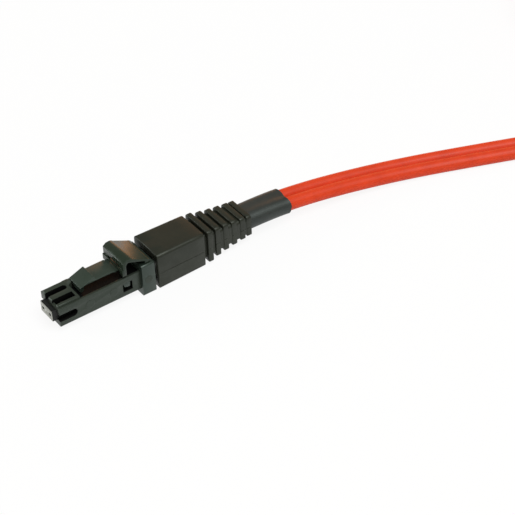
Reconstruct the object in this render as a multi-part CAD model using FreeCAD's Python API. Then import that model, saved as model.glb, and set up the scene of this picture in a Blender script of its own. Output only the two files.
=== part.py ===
import FreeCAD
import Part
import math
import os

from FreeCAD import Base

# A one metre duplex fibre optic patch cable: a small square plug with a rectangular ferrule at each
# end of a two-fibre zip cord. Lengths are in millimetres and angles in degrees.
# A plug is drawn in its own frame: X runs rearward from the ferrule's face, Y is across and Z is up
# from the ferrule's middle. The part's frame has the first plug centred over the origin, its ferrule
# toward -X, and everything stands on Z = 0.

# How far a cut runs past its piece, and how deep joined forms run into each other
PAST = 5.0
JOIN = 0.5

# Ferrule and what it carries
FERRULE_W = 4.4
FERRULE_H = 2.5
FERRULE_L = 8.0
FERRULE_EDGE = 0.12
FLANGE_W = 4.9
FLANGE_H = 2.9
FLANGE_L = 1.7
GUIDE_PITCH = 2.6
GUIDE_D = 0.7
FIBRE_PITCH = 0.75
FIBRE_D = 0.25
FIBRE_HOLE_D = 0.27
FIBRE_SIDES = 8
GLUE_WINDOW_W = 1.6
GLUE_WINDOW_L = 1.5
GLUE_WINDOW_X = 2.6
INSERT_W = 1.7
INSERT_H = 1.3
INSERT_DEPTH = 3.2
INSERT_TAIL = 0.8
SPACER_L = 1.0
SPACER_HOLE_W = 3.3
SPACER_HOLE_H = 1.5
SPACER_R = 0.25

# Spring behind the ferrule
SPRING_D = 2.6
SPRING_WIRE = 0.3
SPRING_COILS = 4
SPRING_STEPS = 10
SPRING_SIDES = 6
SPRING_GAP = 0.02

# Front housing
NOSE_SETBACK = 0.97
HOUSING_END = 19.6
HOUSING_W = 6.9
HOUSING_DROP = 2.35
HOUSING_RISE = 2.25
CROWN_INSET = 0.35
CROWN_RISE = 2.75
CROWN_END = 5.95
FERRULE_FIT = 0.05
CAVITY_FIT = 0.1
SLOT_LOW = -1.05
SLOT_HIGH = 0.65
SLOT_END = 4.95
KEY_W = 1.35
KEY_Y = 1.15
WIDE_KEY_W = 1.6
WIDE_KEY_Y = -1.6
WIDE_KEY_WALL_Z = 2.0
KEY_END = 5.45
KEY_WALL = 0.5
WINDOW_SETBACK = 2.0
WINDOW_L = 2.2
WINDOW_LOW = -1.15
WINDOW_HIGH = 0.95
EDGE_R = 0.3
NOSE_R = 0.42
POCKET_WALL = 0.45
POCKET_FLOOR = 1.8
BRIDGE_W = 1.9
BRIDGE_GAP = 0.1

# Latch arm
LATCH_W = 4.15
LATCH_FRONT = 6.75
LATCH_PIVOT_X = 7.35
LATCH_ROOT_R = 0.5
LATCH_ROOT_W = 3.0
LATCH_PEAK_X = 9.88
LATCH_PEAK_Z = 4.75
LATCH_PEAK_L = 0.22
LATCH_NOSE_Z = 3.6
LATCH_NOSE_T = 0.25
LATCH_HOLLOW_X = 8.3
LATCH_CATCH = 0.65
LATCH_CATCH_L = 0.25
LATCH_ARM_T = 0.4
LATCH_ARM_SETBACK = 4.85
LATCH_TAIL_SETBACK = 2.9
LATCH_TAIL_BLEND = 0.6
LATCH_TAIL_DROP = 0.22
LATCH_SEAT_GAP = 0.05

# Rear collar
COLLAR_L = 3.0
COLLAR_W = 8.3
COLLAR_DROP = 3.85
COLLAR_RISE = 3.65
COLLAR_R = 0.4
NOSE_L = 4.4
NOSE_W = 4.7
NOSE_H = 2.7
FIBRE_WAY_W = 3.0
FIBRE_WAY_H = 1.5
SNAP_GAP = 0.08
SNAP_SINK = 0.1
SNAP_TIP_X = 0.5
SNAP_TIP_Z = -0.05
SNAP_LOW_X = 1.1
SNAP_LOW_Z = -0.28
SNAP_BACK_X = 1.75
SNAP_BACK_Z = -0.2

# Trigger lever
LEVER_W = 7.4
LEVER_T = 0.68
LEVER_ROOT_BACK = 1.75
LEVER_ROOT_R = 0.6
LEVER_ROOT_SINK = 0.25
LEVER_ROOT_GAP = 0.06
LEVER_HEEL_L = 0.7
LEVER_SLOPE = 0.4925
LEVER_CREST_SETBACK = 2.4
LEVER_CREST_L = 0.5
LEVER_CREST_Z = 6.58
LEVER_BROW_L = 0.75
LEVER_BROW_DROP = 0.08
LEVER_FRONT_SETBACK = 3.85
LEVER_FRONT_Z = 5.95
LIP_LOW = 4.75
LIP_T = 0.71
LIP_ROUND = 0.5
LEG_W = 1.5
LEG_STEP = 0.25
LEG_FOOT_Z = 2.95
BAR_T = 0.3
BAR_GAP = 0.12

# Crimp body and sleeve, inside the boot
CRIMP_W = 6.4
CRIMP_H = 4.2
CRIMP_L = 9.0
CRIMP_FLANGE_L = 1.2
CRIMP_R = 1.2
CRIMP_BARREL_W = 5.4
CRIMP_BARREL_H = 3.2
CRIMP_BORE_W = 4.6
CRIMP_BORE_H = 2.2
CRIMP_BORE_R = 0.8
CRIMP_SLEEVE_T = 0.35
CRIMP_SLEEVE_L = 4.5
YARN_GAP = 0.12
FIBRE_BEND_BACK = 1.0

# Boot
BOOT_GAP = 0.65
BOOT_LIFT = 0.5
BOOT_BLOCK_L = 11.35
BOOT_FRONT_W = 8.7
BOOT_FRONT_H = 8.2
BOOT_REAR_W = 8.3
BOOT_REAR_H = 7.95
BOOT_R = 0.8
CORNER_STEPS = 3
BOOT_BORE_CLEARANCE = 0.1
RIB_COUNT = 6
RIB_PITCH = 2.1
RIB_T = 1.2
RIB_FIRST_W = 8.2
RIB_FIRST_H = 7.6
RIB_LAST_W = 6.95
RIB_LAST_H = 4.9
RIB_W_FADE = 4.0
RIB_H_FADE = 1.1
CORE_FIRST_W = 7.0
CORE_FIRST_H = 5.8
CORE_LAST_W = 6.75
CORE_LAST_H = 4.1
CORE_BEVEL = 0.7
RIB_R = 0.9

# Shrink sleeve
SHRINK_L = 9.6
SHRINK_FRONT_W = 6.65
SHRINK_FRONT_H = 4.05
SHRINK_REAR_W = 6.95
SHRINK_REAR_H = 3.75
SHRINK_CLEARANCE = 0.1
CORD_BEND_PAST_BOOT = 2.8

# Zip cord: two round cords side by side, lying flat
SUBCORD_D = 3.0
SUBCORD_SIDES = 8
CORD_SETBACK = 15.2
CORD_CLEARANCE = 0.12
FLOOR_GAP = 0.03

# Put-away coil: an oval stack of flat turns, tied on one side
TURNS = 4
TURN_PITCH = 3.15
COIL_BASE = 0.6
COIL_END_R = 26.0
COIL_STRAIGHT = 18.0
COIL_X = 174.0
COIL_LEAD_IN = 23.0
LANE_Y = -20.5
TAIL_CORNERS = 5
TAIL_ROLL_LIFT = 0.3
TIE_W = 8.0
TIE_T = 0.5
TIE_GAP = 0.05
TIE_SIDE_GAP = 0.4

# Worked out from the sizes above
CROWN_W = HOUSING_W - 2 * CROWN_INSET
POCKET_W = HOUSING_W - 2 * POCKET_WALL
SNAP_REACH = HOUSING_W - 2 * SNAP_SINK
WINDOW_REAR = HOUSING_END - WINDOW_SETBACK
WINDOW_FRONT = WINDOW_REAR - WINDOW_L
LATCH_ARM_END = HOUSING_END - LATCH_ARM_SETBACK
LATCH_TAIL_END = HOUSING_END - LATCH_TAIL_SETBACK
LEVER_ROOT_X = HOUSING_END + LEVER_ROOT_BACK
LEVER_CREST_X = HOUSING_END - LEVER_CREST_SETBACK
LEVER_FRONT_X = HOUSING_END - LEVER_FRONT_SETBACK
COLLAR_END = HOUSING_END + COLLAR_L
BOOT_START = COLLAR_END + BOOT_GAP
RIBS_START = BOOT_START + BOOT_BLOCK_L
BOOT_END = RIBS_START + RIB_COUNT * RIB_PITCH
SHRINK_END = BOOT_END + SHRINK_L
CORD_START = BOOT_END - CORD_SETBACK
CORD_BEND_X = BOOT_END + CORD_BEND_PAST_BOOT
CORD_W = 2 * SUBCORD_D
AXIS_H = COLLAR_DROP
FRONT = -BOOT_END / 2
CORD_REST = SUBCORD_D / 2 + FLOOR_GAP
EXIT_H = AXIS_H + BOOT_LIFT
STACK_TOP = COIL_BASE + TURNS * TURN_PITCH
LEFT_CAP_TOP = COIL_BASE + (TURNS - 0.5) * TURN_PITCH
FAR_FRONT = COIL_X + SHRINK_END
FAR_LANE_H = STACK_TOP + AXIS_H

# The route of the free cord behind the first plug, distances from that plug's ferrule face
VISIBLE_ROUTE = [
    (CORD_START, 0.0, EXIT_H),
    (CORD_BEND_X, 0.0, EXIT_H),
    (61.5, -0.7, 3.6),
    (74.0, -2.6, 2.6),
    (87.5, -5.7, 1.6),
    (102.0, -11.4, CORD_REST),
    (116.5, -17.4, CORD_REST),
    (134.0, LANE_Y, CORD_REST),
    (COIL_X - COIL_LEAD_IN, LANE_Y, CORD_REST),
]


def vec(x, y, z):
    return Base.Vector(x, y, z)


def block(x0, x1, width, z0, z1, y=0.0):
    """A box from x0 to x1 and z0 to z1, width across, its middle at y."""
    return Part.makeBox(x1 - x0, width, z1 - z0, vec(x0, y - width / 2, z0))


def rounded_section(x, width, height, radius, z=0.0):
    """A wire across X with four rounded corners."""
    r = min(radius, 0.499 * width, 0.499 * height)
    a, b = width / 2 - r, height / 2 - r
    k = r * math.sqrt(0.5)
    edges = []
    for sy, sz in ((1, 1), (-1, 1), (-1, -1), (1, -1)):
        cy, cz = sy * a, z + sz * b
        first, last = vec(x, cy + sy * r, cz), vec(x, cy, cz + sz * r)
        if sy * sz < 0:
            first, last = last, first
        edges.append(Part.Arc(first, vec(x, cy + sy * k, cz + sz * k), last).toShape())
    sides = []
    for n, arc in enumerate(edges):
        following = edges[(n + 1) % 4]
        start, end = arc.lastVertex().Point, following.firstVertex().Point
        sides.append(arc)
        if start.distanceToPoint(end) > 1e-6:
            sides.append(Part.LineSegment(start, end).toShape())
    return Part.Wire(Part.__sortEdges__(sides))


def rounded_bar(x0, x1, width, height, radius, z=0.0):
    return Part.Face(rounded_section(x0, width, height, radius, z)).extrude(vec(x1 - x0, 0, 0))


def faceted_section(x, width, height, radius, z=0.0, steps=CORNER_STEPS):
    """A wire across X with four corners, each rounded in a few flats."""
    a, b = width / 2 - radius, height / 2 - radius
    points = []
    for quarter, (sy, sz) in enumerate(((1, 1), (-1, 1), (-1, -1), (1, -1))):
        for n in range(steps + 1):
            turn = (quarter + n / steps) * math.pi / 2
            points.append(vec(x, sy * a + radius * math.cos(turn), z + sz * b + radius * math.sin(turn)))
    return Part.makePolygon(points + points[:1])


def faceted_bar(x0, x1, width, height, radius, z=0.0):
    return Part.Face(faceted_section(x0, width, height, radius, z)).extrude(vec(x1 - x0, 0, 0))


def tapered_bar(x0, size0, x1, size1, radius, z=0.0):
    """A loft between two rounded sections, sizes as (width, height)."""
    first = rounded_section(x0, *size0, radius, z)
    last = rounded_section(x1, *size1, radius, z)
    return Part.makeLoft([first, last], True, True)


def profile_prism(points, width, y=0.0):
    """A side view outline of (x, z) points, drawn across Y."""
    corners = [vec(x, y - width / 2, z) for x, z in points]
    face = Part.Face(Part.makePolygon(corners + corners[:1]))
    return face.extrude(vec(0, width, 0))


def cross_pin(x, z, radius, width, y=0.0):
    return Part.makeCylinder(radius, width, vec(x, y - width / 2, z), vec(0, 1, 0))


def bore(x0, x1, diameter, y=0.0, z=0.0):
    return Part.makeCylinder(diameter / 2, x1 - x0, vec(x0, y, z), vec(1, 0, 0))


def rod(start, run, diameter, sides):
    """A thin rod with flat sides, from a point along a run."""
    along = vec(run.x, run.y, run.z).normalize()
    across = vec(0, 0, 1).cross(along).normalize()
    up = along.cross(across)
    ring = []
    for n in range(sides):
        a = 2 * math.pi * n / sides
        ring.append(start + (across * math.cos(a) + up * math.sin(a)) * (diameter / 2))
    return Part.Face(Part.makePolygon(ring + ring[:1])).extrude(run)


def edges_along(shape, axis, wanted):
    """The straight edges along an axis whose middle passes the wanted test."""
    found = []
    for edge in shape.Edges:
        if not isinstance(edge.Curve, Part.Line):
            continue
        run = edge.lastVertex().Point - edge.firstVertex().Point
        if abs(abs(run[axis]) - run.Length) < 1e-6 and wanted(edge.CenterOfMass):
            found.append(edge)
    return found


def ferrule():
    """Rectangular ferrule: rear flange, two guide holes, two fibre holes and the glue window."""
    body = block(0, FERRULE_L, FERRULE_W, -FERRULE_H / 2, FERRULE_H / 2)
    body = body.makeFillet(FERRULE_EDGE, edges_along(body, 0, lambda p: True))
    flange = block(FERRULE_L - FLANGE_L, FERRULE_L, FLANGE_W, -FLANGE_H / 2, FLANGE_H / 2)
    body = body.fuse(flange)
    cuts = [bore(-1, FERRULE_L + 1, GUIDE_D, side * GUIDE_PITCH / 2) for side in (-1, 1)]
    cuts += [bore(-1, FERRULE_L, FIBRE_HOLE_D, side * FIBRE_PITCH / 2) for side in (-1, 1)]
    pocket_front = FERRULE_L - INSERT_DEPTH
    cuts.append(block(pocket_front, FERRULE_L + 1, INSERT_W, -INSERT_H / 2, INSERT_H / 2))
    cuts.append(block(GLUE_WINDOW_X, GLUE_WINDOW_X + GLUE_WINDOW_L, GLUE_WINDOW_W, 0, FERRULE_H))
    return body.cut(cuts).removeSplitter()


def ferrule_insert():
    """Soft block that holds the two fibres in the back of the ferrule."""
    body = block(FERRULE_L - INSERT_DEPTH, FERRULE_L + INSERT_TAIL, INSERT_W, -INSERT_H / 2, INSERT_H / 2)
    cuts = [bore(0, FERRULE_L + PAST, FIBRE_HOLE_D, side * FIBRE_PITCH / 2) for side in (-1, 1)]
    return body.cut(cuts)


def spacer():
    """Plate behind the ferrule, where the other gender holds its guide pins."""
    body = block(FERRULE_L, FERRULE_L + SPACER_L, FLANGE_W, -FLANGE_H / 2, FLANGE_H / 2)
    body = body.makeFillet(SPACER_R, edges_along(body, 0, lambda p: True))
    return body.cut(block(0, FERRULE_L + PAST, SPACER_HOLE_W, -SPACER_HOLE_H / 2, SPACER_HOLE_H / 2))


def ferrule_spring():
    """Coil spring between the spacer and the rear collar's nose, its wire drawn with flats."""
    start = FERRULE_L + SPACER_L + SPRING_WIRE / 2 + SPRING_GAP
    end = HOUSING_END - NOSE_L - SPRING_WIRE / 2 - SPRING_GAP
    radius = (SPRING_D - SPRING_WIRE) / 2
    steps = SPRING_COILS * SPRING_STEPS
    points = []
    for n in range(steps + 1):
        a = 2 * math.pi * n / SPRING_STEPS
        points.append(vec(start + (end - start) * n / steps, radius * math.cos(a), radius * math.sin(a)))
    along = (points[1] - points[0]).normalize()
    up = along.cross(vec(1, 0, 0)).normalize()
    out = up.cross(along)
    ring = []
    for n in range(SPRING_SIDES + 1):
        a = 2 * math.pi * n / SPRING_SIDES
        ring.append(points[0] + (up * math.cos(a) + out * math.sin(a)) * (SPRING_WIRE / 2))
    sweep = Part.BRepOffsetAPI.MakePipeShell(Part.makePolygon(points))
    sweep.setTransitionMode(1)
    sweep.add(Part.makePolygon(ring))
    sweep.build()
    sweep.makeSolid()
    return sweep.shape()


def front_housing():
    """Plug body: open nose, crown with two key channels and a bridge to the latch, pocket, snap windows."""
    low, high = -HOUSING_DROP, HOUSING_RISE
    body = block(NOSE_SETBACK, HOUSING_END, HOUSING_W, low, high)
    crown = block(NOSE_SETBACK, CROWN_END, CROWN_W, high, CROWN_RISE)
    body = body.fuse(crown).removeSplitter()
    nose = edges_along(body, 1, lambda p: p.x < NOSE_SETBACK + 0.01 and p.z > CROWN_RISE - 0.01)
    body = body.makeFillet(NOSE_R, nose)
    corners = edges_along(body, 0, lambda p: p.z < low + 0.01 or p.z > CROWN_RISE - 0.01)
    body = body.makeFillet(EDGE_R, corners)
    opening = block(0, HOUSING_END, FERRULE_W + 2 * FERRULE_FIT,
                    -FERRULE_H / 2 - FERRULE_FIT, FERRULE_H / 2 + FERRULE_FIT)
    cavity = block(FERRULE_L - FLANGE_L, HOUSING_END + 1, FLANGE_W + 2 * CAVITY_FIT,
                   -FLANGE_H / 2 - CAVITY_FIT, FLANGE_H / 2 + CAVITY_FIT)
    cuts = [opening, cavity]
    slot_mid, slot_r = (SLOT_LOW + SLOT_HIGH) / 2, (SLOT_HIGH - SLOT_LOW) / 2
    cuts.append(block(0, SLOT_END - slot_r, HOUSING_W + 2, SLOT_LOW, SLOT_HIGH))
    cuts.append(cross_pin(SLOT_END - slot_r, slot_mid, slot_r, HOUSING_W + 2))
    floor = FERRULE_H / 2
    cuts.append(block(0, KEY_END - KEY_W / 2, KEY_W, floor, CROWN_RISE + 1, KEY_Y))
    cuts.append(Part.makeCylinder(KEY_W / 2, CROWN_RISE, vec(KEY_END - KEY_W / 2, KEY_Y, floor)))
    cuts.append(block(NOSE_SETBACK + KEY_WALL, KEY_END, WIDE_KEY_W, floor, CROWN_RISE + 1, WIDE_KEY_Y))
    cuts.append(block(0, KEY_END, WIDE_KEY_W, WIDE_KEY_WALL_Z, CROWN_RISE + 1, WIDE_KEY_Y))
    cuts.append(block(CROWN_END, HOUSING_END + 1, POCKET_W, POCKET_FLOOR, CROWN_RISE + 1))
    cuts.append(block(WINDOW_FRONT, WINDOW_REAR, HOUSING_W + 2, WINDOW_LOW, WINDOW_HIGH))
    bridge_end = LATCH_FRONT - BRIDGE_GAP
    web = block(CROWN_END - JOIN, bridge_end, BRIDGE_W, POCKET_FLOOR, CROWN_RISE, (POCKET_W - BRIDGE_W) / 2)
    foot_w = BRIDGE_W - (POCKET_W - LATCH_W) / 2
    foot = profile_prism([
        (CROWN_END - JOIN, POCKET_FLOOR),
        (CROWN_END - JOIN, CROWN_RISE),
        (CROWN_END, CROWN_RISE),
        (bridge_end, LATCH_NOSE_Z - LATCH_NOSE_T),
        (bridge_end, POCKET_FLOOR),
    ], foot_w, (LATCH_W - foot_w) / 2)
    return body.cut(cuts).fuse([web, foot]).removeSplitter()


def latch_root_z():
    return POCKET_FLOOR + LATCH_SEAT_GAP + LATCH_ROOT_R


def latch_tail_top():
    return LATCH_PEAK_Z - LATCH_CATCH - LATCH_TAIL_DROP


def latch_arm():
    """Sprung arm: ramp up to the catch, flat arm, thin tail under the lever's bar, narrow round root."""
    arm_top = LATCH_PEAK_Z - LATCH_CATCH
    arm_under = arm_top - LATCH_ARM_T
    outline = [
        (LATCH_FRONT, LATCH_NOSE_Z - LATCH_NOSE_T),
        (LATCH_FRONT, LATCH_NOSE_Z),
        (LATCH_PEAK_X, LATCH_PEAK_Z),
        (LATCH_PEAK_X + LATCH_PEAK_L, LATCH_PEAK_Z),
        (LATCH_PEAK_X + LATCH_PEAK_L + LATCH_CATCH_L, arm_top),
        (LATCH_ARM_END, arm_top),
        (LATCH_ARM_END, latch_tail_top()),
        (LATCH_TAIL_END, latch_tail_top()),
        (LATCH_TAIL_END, latch_tail_top() - LATCH_ARM_T),
        (LATCH_ARM_END, latch_tail_top() - LATCH_ARM_T),
        (LATCH_ARM_END - LATCH_TAIL_BLEND, arm_under),
        (LATCH_HOLLOW_X, arm_under),
    ]
    arm = profile_prism(outline, LATCH_W)
    neck = profile_prism([
        (LATCH_PIVOT_X - LATCH_ROOT_R, latch_root_z()),
        (LATCH_PIVOT_X - LATCH_ROOT_R, LATCH_NOSE_Z),
        (LATCH_PIVOT_X + LATCH_ROOT_R, arm_top - LATCH_NOSE_T),
        (LATCH_PIVOT_X + LATCH_ROOT_R, latch_root_z()),
    ], LATCH_ROOT_W)
    root = cross_pin(LATCH_PIVOT_X, latch_root_z(), LATCH_ROOT_R, LATCH_ROOT_W)
    return arm.fuse([neck, root]).removeSplitter()


def rear_collar():
    """Rear body: collar with the lever's trough, a nose inside the housing and a snap each side."""
    start, end = HOUSING_END, COLLAR_END
    middle = (COLLAR_RISE - COLLAR_DROP) / 2
    body = rounded_bar(start, end, COLLAR_W, COLLAR_RISE + COLLAR_DROP, COLLAR_R, middle)
    nose = block(start - NOSE_L, start + JOIN, NOSE_W, -NOSE_H / 2, NOSE_H / 2)
    snap_high = WINDOW_HIGH - SNAP_GAP
    snaps = profile_prism([
        (WINDOW_FRONT + SNAP_GAP, snap_high),
        (WINDOW_FRONT + SNAP_TIP_X, SNAP_TIP_Z),
        (WINDOW_FRONT + SNAP_LOW_X, SNAP_LOW_Z),
        (WINDOW_FRONT + SNAP_BACK_X, SNAP_BACK_Z),
        (WINDOW_FRONT + SNAP_BACK_X, snap_high),
    ], SNAP_REACH)
    body = body.fuse([nose, snaps])
    trough_r, trough_w = LEVER_ROOT_R + LEVER_ROOT_GAP, LEVER_W + 2 * LEVER_ROOT_GAP
    trough = cross_pin(LEVER_ROOT_X, lever_root_z(), trough_r, trough_w)
    way = block(start - NOSE_L - PAST, end + PAST, FIBRE_WAY_W, -FIBRE_WAY_H / 2, FIBRE_WAY_H / 2)
    return body.cut([trough, way]).removeSplitter()


def lever_root_z():
    return COLLAR_RISE - LEVER_ROOT_SINK + LEVER_ROOT_R


def trigger_lever():
    """Bent plate from the collar over the latch's tail, with a front lip, two legs and a thin cross bar."""
    rear_top = lever_root_z() + LEVER_ROOT_R
    slope_top = rear_top + LEVER_SLOPE * (LEVER_ROOT_X - LEVER_CREST_X - 2 * LEVER_CREST_L)
    under = LEVER_T * math.hypot(1, LEVER_SLOPE)
    heel_top = rear_top - LEVER_SLOPE * LEVER_HEEL_L
    back = LEVER_FRONT_X + LIP_T
    outline = [
        (LEVER_ROOT_X + LEVER_HEEL_L, heel_top),
        (LEVER_CREST_X + 2 * LEVER_CREST_L, slope_top),
        (LEVER_CREST_X + LEVER_CREST_L, slope_top + LEVER_SLOPE * LEVER_CREST_L + LEVER_BROW_DROP),
        (LEVER_CREST_X, LEVER_CREST_Z),
        (LEVER_CREST_X - LEVER_BROW_L, LEVER_CREST_Z - LEVER_BROW_DROP),
        (LEVER_FRONT_X + LEVER_BROW_DROP, LEVER_FRONT_Z + LEVER_BROW_DROP),
        (LEVER_FRONT_X, LEVER_FRONT_Z),
        (LEVER_FRONT_X, LIP_LOW),
        (back, LIP_LOW),
        (back, LEVER_FRONT_Z - LEVER_T - LEVER_BROW_DROP),
        (back + LIP_ROUND / 2, LEVER_CREST_Z - LEVER_T - LIP_ROUND / 2),
        (back + LIP_ROUND + LEVER_BROW_DROP, LEVER_CREST_Z - LEVER_T - LEVER_BROW_DROP),
        (LEVER_CREST_X + 2 * LEVER_CREST_L, slope_top - under),
        (LEVER_ROOT_X + LEVER_HEEL_L, heel_top - under / 2),
    ]
    plate = profile_prism(outline, LEVER_W)
    root = cross_pin(LEVER_ROOT_X, lever_root_z(), LEVER_ROOT_R, LEVER_W)
    bar_low = latch_tail_top() + BAR_GAP
    step = LEVER_FRONT_X - LEG_STEP
    legs = []
    for side in (-1, 1):
        y = side * (LEVER_W - LEG_W) / 2
        legs.append(block(LEVER_FRONT_X, back, LEG_W, LEG_FOOT_Z, LEVER_FRONT_Z - LEVER_T, y))
        legs.append(block(step, back, LEG_W, LEG_FOOT_Z, bar_low + BAR_T, y))
    bar = block(step, step + BAR_T, LEVER_W - LEG_W, bar_low, bar_low + BAR_T)
    return plate.fuse([root, bar] + legs).removeSplitter()


def crimp_body():
    """Flanged tube on the collar's back, which the cord's yarn is crimped on."""
    start = COLLAR_END
    flange = faceted_bar(start, start + CRIMP_FLANGE_L, CRIMP_W, CRIMP_H, CRIMP_R)
    barrel = faceted_bar(start, start + CRIMP_L, CRIMP_BARREL_W, CRIMP_BARREL_H, CRIMP_R)
    way = faceted_bar(start - 1, start + CRIMP_L + 1, CRIMP_BORE_W, CRIMP_BORE_H, CRIMP_BORE_R)
    return flange.fuse(barrel).cut(way).removeSplitter()


def crimp_sleeve():
    """Metal ring over the crimp body and the yarn."""
    end = COLLAR_END + CRIMP_L
    start = end - CRIMP_SLEEVE_L
    inner_w, inner_h = CRIMP_BARREL_W + 2 * YARN_GAP, CRIMP_BARREL_H + 2 * YARN_GAP
    inner_r = CRIMP_R + YARN_GAP
    ring = faceted_bar(start, end, inner_w + 2 * CRIMP_SLEEVE_T, inner_h + 2 * CRIMP_SLEEVE_T,
                       inner_r + CRIMP_SLEEVE_T)
    return ring.cut(faceted_bar(start - 1, end + 1, inner_w, inner_h, inner_r))


def fibre_pair():
    """Two fibres from the ferrule's face, spreading to the middle of each side of the cord."""
    bend = COLLAR_END + FIBRE_BEND_BACK
    fibres = []
    for side in (-1, 1):
        y0, y1 = side * FIBRE_PITCH / 2, side * SUBCORD_D / 2
        straight = rod(vec(0, y0, 0), vec(bend, 0, 0), FIBRE_D, FIBRE_SIDES)
        spread = rod(vec(bend - FIBRE_D / 4, y0, 0), vec(CORD_START - bend, y1 - y0, BOOT_LIFT),
                     FIBRE_D, FIBRE_SIDES)
        fibres.append(straight.fuse(spread).removeSplitter())
    return Part.makeCompound(fibres)


def rib_size(first, last, fade, n):
    """Ribs shrink fast at the block and slowly at the end, the more so with a larger fade."""
    return last + (first - last) * (1 - n / (RIB_COUNT - 1)) ** fade


def boot():
    """Flexible boot: tapered block, then six ribs on a slimmer core, with the cord's bore."""
    front, rear = (BOOT_FRONT_W, BOOT_FRONT_H), (BOOT_REAR_W, BOOT_REAR_H)
    body = tapered_bar(BOOT_START, front, RIBS_START, rear, BOOT_R, BOOT_LIFT)
    core_first, core_last = (CORE_FIRST_W, CORE_FIRST_H), (CORE_LAST_W, CORE_LAST_H)
    ends = [faceted_section(RIBS_START - JOIN, *core_first, CORE_BEVEL, BOOT_LIFT, 1),
            faceted_section(BOOT_END, *core_last, CORE_BEVEL, BOOT_LIFT, 1)]
    parts = [Part.makeLoft(ends, True, True)]
    for n in range(RIB_COUNT):
        end = RIBS_START + (n + 1) * RIB_PITCH
        w = rib_size(RIB_FIRST_W, RIB_LAST_W, RIB_W_FADE, n)
        h = rib_size(RIB_FIRST_H, RIB_LAST_H, RIB_H_FADE, n)
        parts.append(faceted_bar(end - RIB_T, end, w, h, RIB_R, BOOT_LIFT))
    body = body.fuse(parts).removeSplitter()
    ring_w = CRIMP_BARREL_W + 2 * (YARN_GAP + CRIMP_SLEEVE_T + BOOT_BORE_CLEARANCE)
    ring_h = CRIMP_BARREL_H + 2 * (YARN_GAP + CRIMP_SLEEVE_T + BOOT_BORE_CLEARANCE)
    ring_r = CRIMP_R + YARN_GAP + CRIMP_SLEEVE_T + BOOT_BORE_CLEARANCE
    ring_end = COLLAR_END + CRIMP_L + BOOT_BORE_CLEARANCE
    flange_end = COLLAR_END + CRIMP_FLANGE_L + BOOT_BORE_CLEARANCE
    cuts = [
        faceted_bar(BOOT_START - 1, ring_end, ring_w, ring_h, ring_r),
        faceted_bar(BOOT_START - 1, flange_end, CRIMP_W + 2 * BOOT_BORE_CLEARANCE,
                    CRIMP_H + 2 * BOOT_BORE_CLEARANCE, CRIMP_R + BOOT_BORE_CLEARANCE),
        rounded_bar(ring_end - JOIN, BOOT_END + PAST, CORD_W + 2 * CORD_CLEARANCE,
                    SUBCORD_D + 2 * CORD_CLEARANCE, SUBCORD_D / 2, BOOT_LIFT),
    ]
    return body.cut(cuts).removeSplitter()


def to_frame(point):
    """A route point in the part's frame."""
    return vec(FRONT + point[0], point[1], point[2])


def cord_section(centre, along):
    """Figure-eight outline of the zip cord, flat side down, each round drawn with flats and its true area."""
    across = vec(0, 0, 1).cross(along).normalize()
    step = 2 * math.pi / SUBCORD_SIDES
    corner_r = SUBCORD_D / 2 * math.sqrt(step / math.sin(step))
    outline = []
    for side in (1, -1):
        for n in range(SUBCORD_SIDES - 1):
            a = -math.pi + (n + 0.5) * step
            y = SUBCORD_D / 2 + corner_r * math.cos(a) if n else 0.0
            outline.append(centre + across * (side * y) + vec(0, 0, side * corner_r * math.sin(a)))
    return Part.makePolygon(outline + outline[:1])


def swept_tube(section, points):
    """A closed solid: the section drawn along straight runs and tangent arcs as large as the runs allow.

    Gives the solid, the length of its path and the arcs' radii.
    """
    faces, radii, length = [], [], 0.0
    cap = Part.Face(section)
    at = points[0]
    for before, corner, after in zip(points, points[1:], points[2:]):
        back, ahead = (before - corner), (after - corner)
        reach = 0.45 * min(back.Length, ahead.Length)
        back.normalize()
        ahead.normalize()
        turn = math.pi - back.getAngle(ahead)
        radius = reach / math.tan(turn / 2)
        start = corner + back * reach
        faces += section.extrude(start - at).Faces
        section = section.copy()
        section.translate(start - at)
        axis = ahead.cross(back).normalize()
        centre = corner + (back + ahead).normalize() * (radius / math.cos(turn / 2))
        faces += section.revolve(centre, axis, math.degrees(turn)).Faces
        section.rotate(centre, axis, math.degrees(turn))
        length += start.distanceToPoint(at) + radius * turn
        radii.append(radius)
        at = corner + ahead * reach
    faces += section.extrude(points[-1] - at).Faces
    length += points[-1].distanceToPoint(at)
    section = section.copy()
    section.translate(points[-1] - at)
    shell = Part.makeShell(faces + [cap, Part.Face(section)])
    shell.sewShape()
    solid = Part.makeSolid(shell)
    if solid.Volume < 0:
        solid.reverse()
    return solid, length, radii


def cord_tube(name, route):
    """The zip cord along a route."""
    points = [to_frame(p) for p in route]
    section = cord_section(points[0], (points[1] - points[0]).normalize())
    tube, length, radii = swept_tube(section, points)
    expected = Part.Face(section).Area * length
    print(f"{name}: length {length:.1f}, volume {tube.Volume:.1f} of {expected:.1f},",
          "radii", [round(r) for r in radii])
    return tube


def oval(z0, z1, end_r):
    """An upright oval prism round the coil's middle."""
    left, right = FRONT + COIL_X, FRONT + COIL_X + COIL_STRAIGHT
    middle_y = LANE_Y + COIL_END_R
    height = z1 - z0
    ends = [Part.makeCylinder(end_r, height, vec(x, middle_y, z0)) for x in (left, right)]
    bar = Part.makeBox(COIL_STRAIGHT, 2 * end_r, height, vec(left, middle_y - end_r, z0))
    return ends[0].fuse([ends[1], bar]).removeSplitter()


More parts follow.
